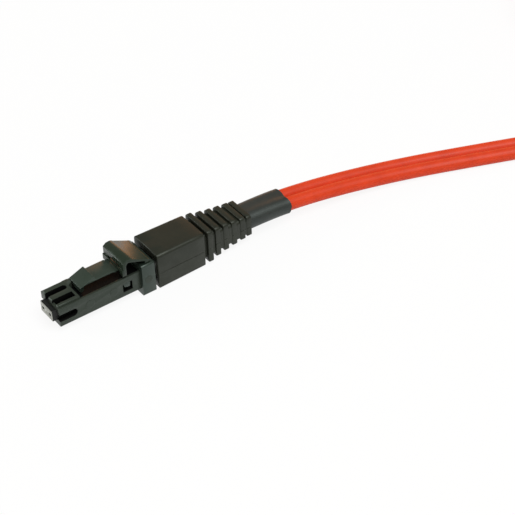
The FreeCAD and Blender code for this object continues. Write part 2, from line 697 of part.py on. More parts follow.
def cord_coil():
    """Outer shape of the stacked turns, half a turn lower at the end where the cord climbs off."""
    inner, outer = COIL_END_R - CORD_W / 2, COIL_END_R + CORD_W / 2
    stack = oval(COIL_BASE, STACK_TOP, outer).cut(oval(COIL_BASE - 1, STACK_TOP + 1, inner))
    lower_lane = Part.makeBox(4 * outer, 2 * outer, 2 * TURN_PITCH,
                              vec(FRONT + COIL_X - 4 * outer, LANE_Y - CORD_W, LEFT_CAP_TOP))
    upper_lane = Part.makeBox(4 * outer, 2 * outer, 2 * TURN_PITCH,
                              vec(FRONT + tail_start_x() - 4 * outer, LANE_Y + COIL_END_R, LEFT_CAP_TOP))
    climb = lower_lane.fuse(upper_lane)
    lead_in = Part.makeBox(COIL_LEAD_IN, CORD_W, SUBCORD_D,
                           vec(FRONT + COIL_X - COIL_LEAD_IN, LANE_Y - CORD_W / 2, 0))
    return stack.cut(climb).fuse(lead_in).removeSplitter()


def tail_start_x():
    """Where the cord climbs off the stack, one half run before the coil's left end."""
    return COIL_X + COIL_END_R * math.tan(math.pi / TAIL_CORNERS / 2)


def tail_route():
    """From the second plug down along the coil's near side, round its left end and onto its far side."""
    step_angle = math.pi / TAIL_CORNERS
    corner_r = COIL_END_R / math.cos(step_angle / 2)
    first_h = LEFT_CAP_TOP + CORD_REST + TAIL_ROLL_LIFT
    last_h = STACK_TOP + EXIT_H
    points = [(tail_start_x(), LANE_Y + 2 * COIL_END_R, first_h)]
    for n in range(TAIL_CORNERS):
        a = math.pi / 2 + (n + 0.5) * step_angle
        height = first_h + (last_h - first_h) * (n + 1) / (TAIL_CORNERS + 1)
        points.append((COIL_X + corner_r * math.cos(a), LANE_Y + COIL_END_R + corner_r * math.sin(a), height))
    points.append((FAR_FRONT - CORD_BEND_X, LANE_Y, last_h))
    points.append((FAR_FRONT - CORD_START, LANE_Y, last_h))
    return points[::-1]


def shrink_sleeve(bend, after):
    """Shrink sleeve round the cord behind the boot, its rear end over the run between two route points."""
    share = (SHRINK_END - bend[0]) / (after[0] - bend[0])
    y = share * (after[1] - bend[1])
    z = BOOT_LIFT + share * (after[2] - bend[2])
    ends = []
    for width, height, at, y_shift, lift in ((SHRINK_FRONT_W, SHRINK_FRONT_H, BOOT_END, 0.0, BOOT_LIFT),
                                             (SHRINK_REAR_W, SHRINK_REAR_H, SHRINK_END, y, z)):
        outer = rounded_section(at, width, height, height / 2, lift)
        inner = rounded_section(at, CORD_W + 2 * SHRINK_CLEARANCE, SUBCORD_D + 2 * SHRINK_CLEARANCE,
                                SUBCORD_D / 2, lift)
        for wire in (outer, inner):
            wire.translate(vec(0, y_shift, 0))
        ends.append((outer, inner))
    outside = Part.makeLoft([ends[0][0], ends[1][0]], True, True)
    inside = Part.makeLoft([ends[0][1], ends[1][1]], True, True)
    return outside.cut(inside)


def coil_tie():
    """A flat strap round the stack at the coil's right end."""
    x = FRONT + COIL_X + COIL_STRAIGHT + COIL_END_R
    z0, z1 = COIL_BASE - TIE_GAP, STACK_TOP + TIE_GAP
    half_w = CORD_W / 2 + TIE_SIDE_GAP
    size = (2 * (half_w + TIE_T), TIE_W, z1 - z0 + 2 * TIE_T)
    outer = Part.makeBox(*size, vec(x - half_w - TIE_T, LANE_Y + COIL_END_R - TIE_W / 2, z0 - TIE_T))
    outer = outer.makeFillet(TIE_T, edges_along(outer, 1, lambda p: True))
    inner = Part.makeBox(2 * half_w, 2 * TIE_W, z1 - z0, vec(x - half_w, LANE_Y + COIL_END_R - TIE_W, z0))
    return outer.cut(inner)


# The pieces of a plug that can be seen, and those that its housing and boot hide
OUTSIDE = {
    "ferrule": ferrule,
    "front_housing": front_housing,
    "latch_arm": latch_arm,
    "rear_collar": rear_collar,
    "trigger_lever": trigger_lever,
    "boot": boot,
}
INSIDE = {
    "ferrule_insert": ferrule_insert,
    "spacer": spacer,
    "ferrule_spring": ferrule_spring,
    "crimp_body": crimp_body,
    "crimp_sleeve": crimp_sleeve,
    "fibre_pair": fibre_pair,
}


def placed_near(shape):
    shape = shape.copy()
    shape.translate(vec(FRONT, 0, AXIS_H))
    return shape


def placed_far(shape):
    """The same plug turned end for end, on top of the coil."""
    shape = shape.copy()
    shape.rotate(vec(0, 0, 0), vec(0, 0, 1), 180)
    shape.translate(vec(FRONT + FAR_FRONT, LANE_Y, FAR_LANE_H))
    return shape


def save(name, shape):
    if not shape.isValid() or shape.Volume <= 0:
        print(f"{name}: NOT a valid solid")
    shape.exportStep(f"parts/{name}.step")
    box = shape.BoundBox
    print(f"{name}: {len(shape.Solids)} solid, volume {shape.Volume:.2f}, z {box.ZMin:.2f} to {box.ZMax:.2f}")


def main():
    os.makedirs("parts", exist_ok=True)
    for name, make in OUTSIDE.items():
        shape = make()
        save(name, placed_near(shape))
        save("far_" + name, placed_far(shape))
    for name, make in INSIDE.items():
        save(name, placed_near(make()))
    far_route = tail_route()
    far_corner = far_route[2]
    far_after = (FAR_FRONT - far_corner[0], 0.0, far_corner[2] - STACK_TOP)
    save("shrink_sleeve", placed_near(shrink_sleeve(VISIBLE_ROUTE[1], VISIBLE_ROUTE[2])))
    save("far_shrink_sleeve", placed_far(shrink_sleeve((CORD_BEND_X, 0.0, EXIT_H), far_after)))
    save("cord_run", cord_tube("cord_run", VISIBLE_ROUTE))
    save("cord_coil", cord_coil())
    save("cord_tail", cord_tube("cord_tail", far_route))
    save("coil_tie", coil_tie())
    cap = math.pi * COIL_END_R
    put_away = COIL_LEAD_IN + (TURNS - 1) * 2 * (COIL_STRAIGHT + cap) + 2 * COIL_STRAIGHT + cap
    print(f"length in the coil {put_away:.1f}, plug {BOOT_END:.2f}")


main()
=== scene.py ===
import math

import bmesh
import bpy
from mathutils import Matrix, Vector


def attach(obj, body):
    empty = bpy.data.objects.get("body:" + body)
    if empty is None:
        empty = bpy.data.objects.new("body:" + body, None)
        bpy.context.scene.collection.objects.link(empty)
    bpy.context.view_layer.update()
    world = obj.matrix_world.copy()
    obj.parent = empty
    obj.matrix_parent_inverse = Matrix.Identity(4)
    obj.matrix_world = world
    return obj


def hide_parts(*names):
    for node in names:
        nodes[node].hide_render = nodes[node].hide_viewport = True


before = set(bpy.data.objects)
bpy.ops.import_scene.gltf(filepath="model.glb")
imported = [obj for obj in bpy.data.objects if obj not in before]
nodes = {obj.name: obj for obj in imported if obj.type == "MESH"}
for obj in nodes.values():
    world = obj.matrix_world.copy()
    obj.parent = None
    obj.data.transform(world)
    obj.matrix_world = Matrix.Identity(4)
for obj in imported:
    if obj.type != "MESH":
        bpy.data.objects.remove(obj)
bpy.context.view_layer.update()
collection = bpy.context.scene.collection

# Lengths are written in millimetres and turned into metres where a mesh or curve is made.
# Only the studio and the materials are in metres.
MM = 0.001

# A plug's own frame: X runs rearward from its ferrule's face, Z is up from the ferrule's middle.
# PLUG_MID is half a plug's length and AXIS_H the height of its ferrule above what it lies on.
# FAR_FRONT is the second plug's face, behind the first one's. It lies on the put-away turns,
# whose top is STACK_TOP, over the lane at LANE_Y.
PLUG_MID = 23.6
AXIS_H = 3.85
FAR_FRONT = 230.8
STACK_TOP = 13.2
LANE_Y = -20.5
FAR_PLACE = Vector((FAR_FRONT - PLUG_MID, LANE_Y, STACK_TOP + AXIS_H))
NEAR = Matrix.Translation(Vector((-PLUG_MID, 0, AXIS_H)) * MM)
FAR = Matrix.Translation(FAR_PLACE * MM) @ Matrix.Rotation(math.pi, 4, "Z")


# Materials

# The middle range of a noise texture's value, and how rough its finer octaves are
NOISE_LOW, NOISE_HIGH = 0.3, 0.7
NOISE_ROUGHNESS = 0.55


def new_material(name):
    """A new material with its node tree and its shader."""
    material = bpy.data.materials.new(name)
    material.use_nodes = True
    tree = material.node_tree
    return material, tree, tree.nodes["Principled BSDF"]


def noise(tree, coords, scale, detail=4.0, stretch=None):
    """A noise texture on object or UV coordinates, stretched by a mapping where asked."""
    texture = tree.nodes.new("ShaderNodeTexNoise")
    texture.inputs["Scale"].default_value = scale
    texture.inputs["Detail"].default_value = detail
    texture.inputs["Roughness"].default_value = NOISE_ROUGHNESS
    if stretch:
        mapping = tree.nodes.new("ShaderNodeMapping")
        mapping.inputs["Scale"].default_value = stretch
        tree.links.new(coords, mapping.inputs["Vector"])
        coords = mapping.outputs["Vector"]
    tree.links.new(coords, texture.inputs["Vector"])
    return texture.outputs["Fac"]


def spread(tree, value, low, high):
    """A noise value's middle range drawn out from low to high."""
    node = tree.nodes.new("ShaderNodeMapRange")
    node.inputs["From Min"].default_value = NOISE_LOW
    node.inputs["From Max"].default_value = NOISE_HIGH
    node.inputs["To Min"].default_value = low
    node.inputs["To Max"].default_value = high
    tree.links.new(value, node.inputs["Value"])
    return node.outputs["Result"]


def tones(tree, value, dark, light, start=NOISE_LOW, end=NOISE_HIGH):
    """Colours from dark to light over part of the value's range."""
    ramp = tree.nodes.new("ShaderNodeValToRGB")
    ramp.color_ramp.elements[0].position = start
    ramp.color_ramp.elements[0].color = (*dark, 1)
    ramp.color_ramp.elements[1].position = end
    ramp.color_ramp.elements[1].color = (*light, 1)
    tree.links.new(value, ramp.inputs["Fac"])
    return ramp.outputs["Color"]


def bump(tree, height, distance, strength, under=None):
    """A bumped normal, laid over another one where asked."""
    node = tree.nodes.new("ShaderNodeBump")
    node.inputs["Distance"].default_value = distance
    node.inputs["Strength"].default_value = strength
    tree.links.new(height, node.inputs["Height"])
    if under is not None:
        tree.links.new(under, node.inputs["Normal"])
    return node.outputs["Normal"]


def math_node(tree, operation, first, second, clamp=False):
    """The result of two sockets, or of a socket and a number."""
    node = tree.nodes.new("ShaderNodeMath")
    node.operation = operation
    node.use_clamp = clamp
    for socket, value in zip(node.inputs, (first, second)):
        if isinstance(value, float):
            socket.default_value = value
        else:
            tree.links.new(value, socket)
    return node.outputs["Value"]


def moulded(name, dark, light, rough=(0.38, 0.5), grain=0.000012, scale=9000.0, specular=0.5,
            sheen=(1, 1, 1)):
    """Moulded plastic or rubber: slow drift of tone and gloss, with the mould's fine grain."""
    material, tree, shader = new_material(name)
    coords = tree.nodes.new("ShaderNodeTexCoord").outputs["Object"]
    drift = noise(tree, coords, 170.0, 3.0)
    tree.links.new(tones(tree, drift, dark, light), shader.inputs["Base Color"])
    tree.links.new(spread(tree, noise(tree, coords, 420.0, 5.0), *rough), shader.inputs["Roughness"])
    fine = noise(tree, coords, scale, 2.0)
    slow = bump(tree, drift, 0.00006, 0.35)
    tree.links.new(bump(tree, fine, grain, 0.8, slow), shader.inputs["Normal"])
    shader.inputs["Specular IOR Level"].default_value = specular
    shader.inputs["Specular Tint"].default_value = (*sheen, 1)
    return material


def metal(name, dark, light, rough, lines):
    """Drawn or turned metal with fine lines along one direction."""
    material, tree, shader = new_material(name)
    coords = tree.nodes.new("ShaderNodeTexCoord").outputs["Object"]
    streaks = noise(tree, coords, 600.0, 4.0, stretch=lines)
    tree.links.new(tones(tree, streaks, dark, light), shader.inputs["Base Color"])
    tree.links.new(spread(tree, streaks, *rough), shader.inputs["Roughness"])
    tree.links.new(bump(tree, streaks, 0.00001, 0.6), shader.inputs["Normal"])
    shader.inputs["Metallic"].default_value = 1.0
    return material


def jacket_material():
    """Extruded cord jacket: faint draw lines along the cord and a soft sheen."""
    material, tree, shader = new_material("cord_jacket")
    coords = tree.nodes.new("ShaderNodeTexCoord")
    lines = noise(tree, coords.outputs["UV"], 1.0, 3.0, stretch=(14.0, 60.0, 1.0))
    mottle = noise(tree, coords.outputs["Object"], 260.0, 3.0)
    colour = tones(tree, mottle, (0.61, 0.038, 0.005), (0.70, 0.051, 0.009))
    tree.links.new(colour, shader.inputs["Base Color"])
    tree.links.new(spread(tree, lines, 0.4, 0.54), shader.inputs["Roughness"])
    shader.inputs["Specular IOR Level"].default_value = 0.3
    fine = noise(tree, coords.outputs["Object"], 7000.0, 2.0)
    under = bump(tree, lines, 0.00003, 0.5)
    tree.links.new(bump(tree, fine, 0.000008, 0.6, under), shader.inputs["Normal"])
    shader.inputs["Subsurface Weight"].default_value = 0.06
    shader.inputs["Subsurface Radius"].default_value = (0.0012, 0.0004, 0.0002)
    shader.inputs["Subsurface Scale"].default_value = 1.0
    return material


def woven_material():
    """Woven strap: fine crossing threads."""
    material, tree, shader = new_material("tie_weave")
    coords = tree.nodes.new("ShaderNodeTexCoord").outputs["Object"]
    waves = []
    for direction in ("Y", "Z"):
        wave = tree.nodes.new("ShaderNodeTexWave")
        wave.bands_direction = direction
        wave.inputs["Scale"].default_value = 620.0
        wave.inputs["Distortion"].default_value = 0.6
        tree.links.new(coords, wave.inputs["Vector"])
        waves.append(wave.outputs["Fac"])
    cloth = math_node(tree, "MULTIPLY", *waves)
    tree.links.new(tones(tree, cloth, (0.010, 0.010, 0.011), (0.045, 0.045, 0.048), 0.0, 0.9),
                   shader.inputs["Base Color"])
    tree.links.new(bump(tree, cloth, 0.00012, 0.8), shader.inputs["Normal"])
    shader.inputs["Roughness"].default_value = 0.8
    shader.inputs["Sheen Weight"].default_value = 0.25
    return material


GREENISH = (0.84, 1.0, 0.92)
MATERIALS = {
    "housing": moulded("housing_plastic", (0.020, 0.026, 0.019), (0.028, 0.035, 0.026), (0.3, 0.42),
                       specular=0.4, sheen=GREENISH),
    "latch_arm": moulded("latch_plastic", (0.018, 0.028, 0.021), (0.028, 0.040, 0.030), (0.3, 0.42),
                         specular=0.5, sheen=GREENISH),
    "trigger_lever": moulded("lever_plastic", (0.013, 0.021, 0.013), (0.021, 0.030, 0.019), (0.25, 0.32),
                             specular=0.3, sheen=GREENISH),
    "collar": moulded("collar_plastic", (0.012, 0.020, 0.015), (0.018, 0.028, 0.021), (0.28, 0.4),
                      specular=0.6, sheen=GREENISH),
    # Near-black matte: painted shade for the housing's recesses, which are not a plastic of their own.
    "pocket": moulded("recess_painted_shade", (0.002, 0.002, 0.002), (0.003, 0.003, 0.003), (0.6, 0.7),
                      specular=0.1),
    "boot": moulded("boot_elastomer", (0.008, 0.009, 0.005), (0.014, 0.015, 0.009), (0.4, 0.54),
                    0.00002, 6500.0, specular=0.46, sheen=(0.92, 1.0, 0.9)),
    "shrink": moulded("shrink_tube", (0.013, 0.015, 0.014), (0.020, 0.022, 0.021), (0.42, 0.55),
                      0.000015, 5000.0, specular=0.62, sheen=(0.88, 1.0, 0.96)),
    "ferrule": moulded("ferrule_plastic", (0.004, 0.005, 0.005), (0.008, 0.009, 0.009), (0.4, 0.5), 0.000006,
                       specular=0.3),
    # Light grey: the polish is real, and its light colour is painted glare on the dark ferrule plastic.
    "ferrule_face": moulded("ferrule_polish_painted_glare", (0.20, 0.21, 0.18), (0.27, 0.28, 0.24), (0.16, 0.24), 0.000002),
    "rubber_insert": moulded("insert_rubber", (0.05, 0.05, 0.05), (0.08, 0.08, 0.08), (0.6, 0.75)),
    "spacer": moulded("spacer_plastic", (0.02, 0.02, 0.02), (0.035, 0.035, 0.035)),
    "fibre": moulded("fibre_coating", (0.72, 0.74, 0.72), (0.82, 0.84, 0.82), (0.12, 0.2), 0.000002),
    "spring_wire": metal("spring_steel", (0.5, 0.5, 0.48), (0.64, 0.64, 0.62), (0.25, 0.35), (1.0, 8.0, 8.0)),
    "crimp_body": metal("turned_steel", (0.45, 0.45, 0.43), (0.58, 0.58, 0.56), (0.28, 0.4), (9.0, 1.0, 1.0)),
    "crimp_sleeve": metal("crimp_metal", (0.6, 0.6, 0.58), (0.72, 0.72, 0.7), (0.3, 0.45), (1.0, 7.0, 7.0)),
    "jacket": jacket_material(),
    "tie": woven_material(),
}


# Pieces

def add(name, mesh, body, slot, replaces=()):
    """A visible piece with its material, riding on a body."""
    obj = bpy.data.objects.new(name, mesh)
    collection.objects.link(obj)
    mesh.materials.clear()
    mesh.materials.append(MATERIALS[slot])
    if replaces:
        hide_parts(*replaces)
    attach(obj, body)
    return obj


def smooth_by_angle(mesh, degrees):
    """Smooth faces with the edges sharper than the angle kept crisp."""
    bm = bmesh.new()
    bm.from_mesh(mesh)
    for face in bm.faces:
        face.smooth = True
    for edge in bm.edges:
        edge.smooth = len(edge.link_faces) == 2 and edge.calc_face_angle(0) < math.radians(degrees)
    bm.to_mesh(mesh)
    bm.free()


def softened(node, body, slot, width):
    """A CAD node's own form with its edges rounded."""
    mesh = nodes[node].data.copy()
    mesh.name = "soft_" + node
    bm = bmesh.new()
    bm.from_mesh(mesh)
    bmesh.ops.remove_doubles(bm, verts=bm.verts, dist=0.002 * MM)
    bmesh.ops.dissolve_limit(bm, angle_limit=math.radians(0.5), verts=bm.verts, edges=bm.edges)
    bm.to_mesh(mesh)
    bm.free()
    obj = add("soft_" + node, mesh, body, slot, [node])
    modifier = obj.modifiers.new("edges", "BEVEL")
    modifier.width = width * MM
    modifier.segments = 2
    modifier.limit_method = "ANGLE"
    modifier.angle_limit = math.radians(40)
    modifier.use_clamp_overlap = True
    apply_modifiers(obj)
    smooth_by_angle(obj.data, 35)
    return obj


def apply_modifiers(obj):
    """The object's mesh as its modifiers leave it."""
    bpy.context.view_layer.update()
    graph = bpy.context.evaluated_depsgraph_get()
    mesh = bpy.data.meshes.new_from_object(obj.evaluated_get(graph))
    obj.modifiers.clear()
    obj.data = mesh


def loft(name, rings):
    """A closed mesh through rings of as many points each, in metres."""
    bm = bmesh.new()
    rows = [[bm.verts.new(p) for p in ring] for ring in rings]
    count = len(rows[0])
    for first, second in zip(rows, rows[1:]):
        for n in range(count):
            m = (n + 1) % count
            bm.faces.new((first[n], first[m], second[m], second[n]))
    bm.faces.new(rows[0][::-1])
    bm.faces.new(rows[-1])
    bmesh.ops.recalc_face_normals(bm, faces=bm.faces)
    mesh = bpy.data.meshes.new(name)
    bm.to_mesh(mesh)
    bm.free()
    return mesh


# The boot's parting line: its share of the side's height, its height in the plug's frame, and
# how much sharper the boot's lower corners are than its upper ones
SEAM_AT = -0.1
SEAM_Z = 0.05
LOWER_CORNERS = 0.3
CORNER_STEPS = 7


def rounded_ring(x, width, height, radius, lift, place, crown=0.0, seam=0.0):
    """Points round a rounded rectangle across X, its sides bowed out by crown and grooved at the seam."""
    radius = min(radius, width / 2 - 0.01, height / 2 - 0.01)
    a, b = width / 2 - radius, height / 2 - radius
    outline = []
    for quarter, (sy, sz) in enumerate(((1, 1), (-1, 1), (-1, -1), (1, -1))):
        r = radius if sz > 0 else radius * LOWER_CORNERS
        for n in range(CORNER_STEPS + 1):
            turn = (quarter + n / CORNER_STEPS) * math.pi / 2
            outline.append((sy * (width / 2 - r) + r * math.cos(turn),
                            sz * (height / 2 - r) + r * math.sin(turn)))
        if quarter in (0, 2):
            for share in (0.75, 0.5, 0.25, 0.0, -0.25, -0.5, -0.75):
                outline.append((sy * a * share, sz * height / 2 + sz * crown * (1 - share * share)))
        else:
            along = (0.6, 0.25, SEAM_AT + 0.06, SEAM_AT, SEAM_AT - 0.06, -0.35, -0.7)
            for share in along if quarter == 1 else along[::-1]:
                side = sy * (width / 2 + crown * (1 - share * share))
                depth = seam if share == SEAM_AT else 0.0
                up = share * b if share not in along[2:5] else SEAM_Z - lift + (share - SEAM_AT) * 1.2
                outline.append((side - sy * depth, up))
    return [place @ (Vector((x, y, lift + z)) * MM) for y, z in outline]


# The cord: a two-fibre zip cord on one smooth line from plug to plug

# Its rounds, half the web between them, and how far the groove's floor dips into that half
CORD_R = 1.5
WEB_HALF = 0.32
GROOVE_DIP = 0.88
# Height of its middle where it rests and where it leaves a plug, and where it starts and bends there
CORD_REST = 1.53
EXIT_H = 4.35
CORD_START = 32.0
CORD_BEND = 50.0
COIL_X = 174.0
COIL_STRAIGHT = 18.0
COIL_R = 26.0
COIL_BASE = 0.6
TURN_PITCH = 3.15
TURNS = 4
CORNERS = 5
# How far a turn strays sideways on the straights and at the ends, and how high the last one climbs first
LOOSE_STRAIGHT = 0.35
LOOSE_END = 0.4
CLIMB_H = 13.4
ROUTE = [
    (CORD_START, 0.0, EXIT_H),
    (CORD_BEND, 0.0, EXIT_H),
    (61.5, -0.7, 3.6),
    (74.0, -2.6, 2.6),
    (87.5, -5.7, 1.6),
    (102.0, -11.4, CORD_REST),
    (116.5, -17.4, CORD_REST),
    (134.0, LANE_Y, CORD_REST),
    (151.0, LANE_Y, CORD_REST),
    (164.0, LANE_Y, 1.7),
]


def coil_points():
    """The put-away turns: an oval stack, each turn a little different, then down into the second plug."""
    lap = 2 * COIL_STRAIGHT + 2 * math.pi * COIL_R
    cap = math.pi * COIL_R
    corner_r = COIL_R / math.cos(math.pi / CORNERS / 2)
    middle_y = LANE_Y + COIL_R

    def height(turn, run):
        """Level along the near side and round the tied end, then up onto the next turn."""
        level = COIL_STRAIGHT + cap
        return COIL_BASE + CORD_R + TURN_PITCH * (turn + max(0.0, run - level) / (lap - level))

    points = []
    for turn in range(TURNS):
        loose = LOOSE_STRAIGHT * math.sin(2.3 * turn + 0.6)
        points.append((COIL_X + COIL_STRAIGHT / 2, LANE_Y + loose, height(turn, COIL_STRAIGHT / 2)))
        for n in range(CORNERS):
            a = -math.pi / 2 + (n + 0.5) * math.pi / CORNERS
            r = corner_r + LOOSE_END * math.sin(1.7 * turn + n)
            run = COIL_STRAIGHT + (n + 0.5) * cap / CORNERS
            points.append((COIL_X + COIL_STRAIGHT + r * math.cos(a), middle_y + r * math.sin(a),
                           height(turn, run)))
        if turn == TURNS - 1:
            break
        run = 1.5 * COIL_STRAIGHT + cap
        points.append((COIL_X + COIL_STRAIGHT / 2, middle_y + COIL_R - loose, height(turn, run)))
        for n in range(CORNERS):
            a = math.pi / 2 + (n + 0.5) * math.pi / CORNERS
            r = corner_r + LOOSE_END * math.sin(1.1 * turn + 2 * n)
            run = 2 * COIL_STRAIGHT + cap + (n + 0.5) * cap / CORNERS
            points.append((COIL_X + r * math.cos(a), middle_y + r * math.sin(a), height(turn, run)))
    last_h = STACK_TOP + EXIT_H
    points.append((COIL_X + COIL_R * math.tan(math.pi / CORNERS / 2), middle_y + COIL_R, CLIMB_H))
    for n in range(CORNERS):
        a = math.pi / 2 + (n + 0.5) * math.pi / CORNERS
        z = CLIMB_H + (last_h - CLIMB_H) * (n + 1) / (CORNERS + 1)
        points.append((COIL_X + corner_r * math.cos(a), middle_y + corner_r * math.sin(a), z))
    points.append((FAR_FRONT - CORD_BEND, LANE_Y, last_h))
    points.append((FAR_FRONT - CORD_START, LANE_Y, last_h))
    return points


def smooth_line(points):
    """Points along the NURBS spline that has these control points."""
    curve = bpy.data.curves.new("cord_line", "CURVE")
    curve.dimensions = "3D"
    curve.resolution_u = 8
    spline = curve.splines.new("NURBS")
    spline.points.add(len(points) - 1)
    for control, point in zip(spline.points, points):
        control.co = (*((Vector(point) - Vector((PLUG_MID, 0, 0))) * MM), 1.0)
    spline.order_u = 3
    spline.use_endpoint_u = True
    holder = bpy.data.objects.new("cord_line", curve)
    mesh = bpy.data.meshes.new_from_object(holder)
    line = [v.co.copy() for v in mesh.vertices]
    bpy.data.meshes.remove(mesh)
    bpy.data.objects.remove(holder)
    bpy.data.curves.remove(curve)
    return line


def level_frames(line):
    """For each point of a line: the point, the level direction across it and the direction up from it."""
    frames = []
    for n, point in enumerate(line):
        along = (line[min(n + 1, len(line) - 1)] - line[max(n - 1, 0)]).normalized()
        across = Vector((0, 0, 1)).cross(along).normalized()
        frames.append((point, across, along.cross(across)))
    return frames


def zip_outline(steps=15):
    """Two rounds joined by a thin web, as (across, up)."""
    outline = []
    first = math.pi - math.asin(WEB_HALF / CORD_R)
    for side in (1, -1):
        for n in range(steps + 1):
            a = -first + 2 * first * n / steps
            outline.append((side * (CORD_R + CORD_R * math.cos(a)), side * CORD_R * math.sin(a)))
        outline.append((0.0, side * WEB_HALF * GROOVE_DIP))
    return outline


def along_line(name, frames, outline):
    """A tube whose outline follows a line; its UVs are metres along and round it."""
    rings = [[p + across * (y * MM) + up * (z * MM) for y, z in outline] for p, across, up in frames]
    mesh = loft(name, rings)
    uv = mesh.uv_layers.new(name="along")
    count = len(outline)
    run, length = [0.0], 0.0
    for (a, _, _), (b, _, _) in zip(frames, frames[1:]):
        length += (b - a).length
        run.append(length)
    for loop in mesh.loops:
        uv.data[loop.index].uv = (run[loop.vertex_index // count], (loop.vertex_index % count) / count)
    return mesh


line = smooth_line(ROUTE + coil_points())
frames_of_line = level_frames(line)
cord_mesh = along_line("zip_cord", frames_of_line, zip_outline())
smooth_by_angle(cord_mesh, 50)
cord = add("zip_cord", cord_mesh, "cable", "jacket", ["cord_run", "cord_coil", "cord_tail"])


SLEEVE_START = 46.0
SLEEVE_END = 56.6
# The sleeve's rim: rings that stand out from its last one, and how far behind it they lie
SLEEVE_RIM = ((0.02, 0.15), (-0.08, 0.25), (-0.36, 0.2), (-0.5, -0.6))
RIM_WAVE = 0.16


def stadium(width, height, bow, steps=14):
    """A flattened tube's outline, dipped by the bow in its middle, as (across, up)."""
    r = height / 2
    outline = []
    for side in (1, -1):
        for n in range(steps + 1):
            a = -math.pi / 2 + math.pi * n / steps
            outline.append((side * (width / 2 - r + r * math.cos(a)), side * r * math.sin(a)))
        outline.append((side * (width / 2 - r) * 0.5, side * (r - bow * 0.6)))
        outline.append((0.0, side * (r - bow)))
        outline.append((-side * (width / 2 - r) * 0.5, side * (r - bow * 0.6)))
    return outline


def sleeve(name, frames, replaces):
    """Shrink sleeve: a thin tube drawn tight over the cord, its rear edge a little uneven."""
    rings = []
    for n, (p, across, up) in enumerate(frames):
        t = n / (len(frames) - 1)
        w, h, bow = 6.62 + 0.22 * t, 4.05 - 0.3 * t, 0.08 + 0.3 * t * t
        rings.append([p + across * (y * MM) + up * (z * MM) for y, z in stadium(w, h, bow)])
    # The rim goes on from the last ring
    along = across.cross(up).normalized()
    if (p - frames[0][0]).dot(along) < 0:
        along = -along
    for out, back in SLEEVE_RIM:
        row = []
        for y, z in stadium(w + 2 * out, h + 2 * out, bow + out * 0.3):
            wave = RIM_WAVE * math.sin(1.7 * y + (0.8 if z > 0 else 2.6)) if back > 0 else 0.0
            row.append(p + along * ((back + wave) * MM) + across * (y * MM) + up * (z * MM))
        rings.append(row)
    mesh = loft(name, rings)
    smooth_by_angle(mesh, 40)
    return add(name, mesh, "cable", "shrink", replaces)


def frames_in_sleeve(near):
    """The cord's frames inside a plug's sleeve, with both ends exact."""
    found = []
    source = frames_of_line if near else frames_of_line[::-1]
    before, last = None, SLEEVE_START
    for p, across, up in source:
        x = p.x / MM + PLUG_MID
        x = x if near else FAR_FRONT - x
        for end in (SLEEVE_START, SLEEVE_END):
            if last < end <= x and before:
                found.append((before.lerp(p, (end - last) / (x - last)), across, up))
        if x > SLEEVE_END:
            break
        if x > SLEEVE_START:
            found.append((p, across, up))
        before, last = p, x
    return found


near_sleeve = sleeve("sleeve", frames_in_sleeve(True), ["shrink_sleeve"])
far_sleeve = sleeve("far_sleeve", frames_in_sleeve(False), ["far_shrink_sleeve"])


BOOT_LIFT = 0.5
BLOCK_END = 34.6
RIBS = 6
RIB_PITCH = 2.1
RIB_THICK = 1.2
SIDE_BOW = 0.05
SEAM_DEPTH = 0.16


def boot(name, place, node):
    """Boot: a block with a recess round the crimp, then six ribs on a slimmer core.

    A station is its X, width, height, corner radius and whether it carries the parting line. Only
    the block's stations, with a 1, are bowed too.
    """
    stations = [(25.2, 6.6, 4.4, 1.4, 0), (23.5, 6.6, 4.4, 1.4, 0), (23.25, 6.9, 4.7, 1.5, 0)]
    stations += [(23.25, 8.42, 7.92, 0.65, 0), (23.29, 8.6, 8.1, 0.68, 0), (23.4, 8.7, 8.2, 0.7, 1)]
    for share in (0.25, 0.5, 0.75):
        stations.append((23.5 + 10.9 * share, 8.7 - 0.4 * share, 8.2 - 0.25 * share, 0.7, 1))
    stations += [(34.4, 8.3, 7.95, 0.7, 1), (34.55, 8.2, 7.85, 0.7, 1), (BLOCK_END, 8.06, 7.7, 0.65, 0)]
    last = RIBS - 1
    for n in range(RIBS):
        w = 6.95 + 1.25 * (1 - n / last) ** 4
        h = 4.9 + 2.7 * (1 - n / last) ** 1.1
        end = BLOCK_END + (n + 1) * RIB_PITCH - (0.5 if n == last else 0.0)
        core_w, core_h = 6.9 - 0.15 * n / last, 5.6 - 1.5 * n / last
        start = end - RIB_THICK
        stations += [(start - 0.85 if n == 0 else start - 0.9, core_w, core_h, 0.8, 0),
                     (start - 0.03, core_w - 0.02, core_h - 0.03, 0.8, 0),
                     (start, w - 0.22, h - 0.22, 0.65, 0), (start + 0.07, w - 0.05, h - 0.05, 0.7, 0),
                     (start + 0.2, w, h, 0.7, 0.7), (end - 0.2, w, h, 0.7, 0.7),
                     (end - 0.07, w - 0.05, h - 0.05, 0.7, 0), (end, w - 0.22, h - 0.22, 0.65, 0)]
    stations += [(46.7, 6.5, 3.9, 1.9, 0), (46.0, 6.5, 3.9, 1.9, 0)]
    rings = []
    for x, w, h, r, parted in stations:
        bow = SIDE_BOW if parted == 1 else 0.0
        seam = SEAM_DEPTH if parted else 0.0
        rings.append(rounded_ring(x, w, h, r, BOOT_LIFT, place, bow, seam))
    mesh = loft(name, rings)
    smooth_by_angle(mesh, 38)
    return add(name, mesh, "cable", "boot", [node])


near_boot = boot("boot_shell", NEAR, "boot")
far_boot = boot("far_boot_shell", FAR, "far_boot")

